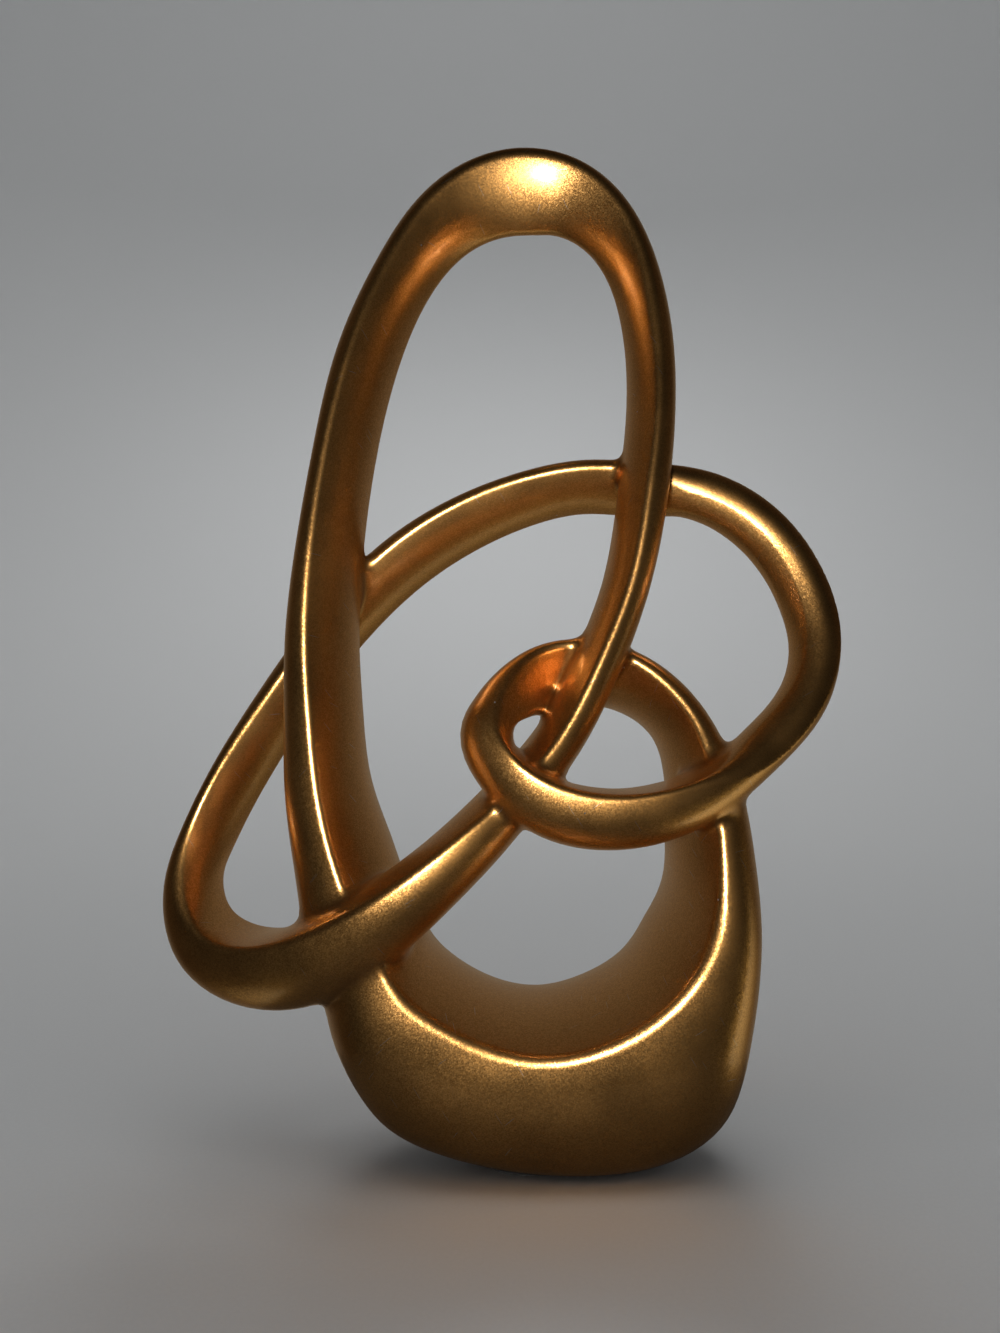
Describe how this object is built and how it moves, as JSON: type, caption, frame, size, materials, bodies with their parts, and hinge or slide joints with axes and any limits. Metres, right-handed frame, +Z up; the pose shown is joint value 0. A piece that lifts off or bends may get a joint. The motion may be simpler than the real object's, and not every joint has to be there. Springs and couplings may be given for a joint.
{
  "type": "abstract loop sculpture",
  "caption": "Standing abstract sculpture of one endless strand that loops over and under itself, with a D-shaped section that widens into a foot, in satin gold paint.",
  "frame": {"origin": "middle of the underside of the felt pad under the foot, on the surface that the sculpture stands on", "axes": "+Z up, the pictured front faces -Y, +X to the right as seen from the front"},
  "size_m": [0.1666, 0.0524, 0.2528],
  "materials": {
    "base_casting": "satin metallic gold paint over cast filled resin",
    "curl_arch_casting": "satin metallic gold paint over cast filled resin",
    "ring_casting": "satin metallic gold paint over cast filled resin",
    "back_arch_casting": "satin metallic gold paint over cast filled resin",
    "left_loop_casting": "satin metallic gold paint over cast filled resin",
    "tall_loop_casting": "satin metallic gold paint over cast filled resin",
    "right_arm_pin": "plain drawn steel, hidden inside the splice",
    "curl_pin": "plain drawn steel, hidden inside the splice",
    "side_loop_pin": "plain drawn steel, hidden inside the splice",
    "back_arch_pin": "plain drawn steel, hidden inside the splice",
    "low_leg_pin": "plain drawn steel, hidden inside the splice",
    "left_foot_pin": "plain drawn steel, hidden inside the splice",
    "felt_pad": "black pressed felt"
  },
  "bodies": {
    "root": {"base_casting": "base_casting", "curl_arch_casting": "curl_arch_casting", "ring_casting": "ring_casting", "back_arch_casting": "back_arch_casting", "left_loop_casting": "left_loop_casting", "tall_loop_casting": "tall_loop_casting", "right_arm_pin": "right_arm_pin", "curl_pin": "curl_pin", "side_loop_pin": "side_loop_pin", "back_arch_pin": "back_arch_pin", "low_leg_pin": "low_leg_pin", "left_foot_pin": "left_foot_pin", "felt_pad": "felt_pad"}
  },
  "joints": []
}
